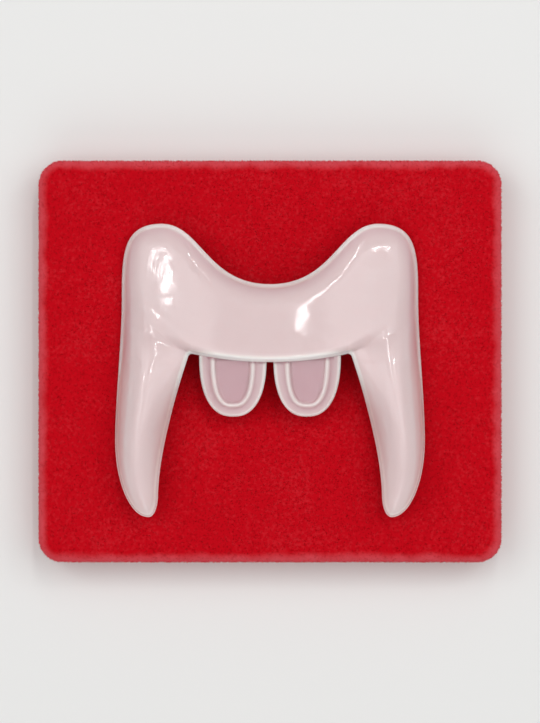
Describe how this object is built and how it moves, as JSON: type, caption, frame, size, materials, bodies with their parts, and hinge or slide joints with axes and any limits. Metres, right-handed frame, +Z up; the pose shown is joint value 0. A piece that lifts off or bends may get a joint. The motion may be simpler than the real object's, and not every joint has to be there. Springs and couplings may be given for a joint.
{
  "type": "vampire fang denture on a flocked display tray",
  "caption": "Thin hollow upper denture plate with long curved fangs and ribbed bite tabs, worn over the teeth, lying face up on a low flocked tray.",
  "frame": {"origin": "centre of the tray's underside", "axes": "+X to the right across the denture, +Y from the fang tips towards the gum edge, +Z up out of the tray"},
  "size_m": [0.0714, 0.062, 0.017],
  "materials": {
    "milky_plastic": "soft translucent milky white plastic, glossy and faintly wavy",
    "red_flock": "short red flock over a thin formed shell"
  },
  "bodies": {
    "root": {"fang_denture": "milky_plastic", "display_tray": "red_flock"}
  },
  "joints": []
}
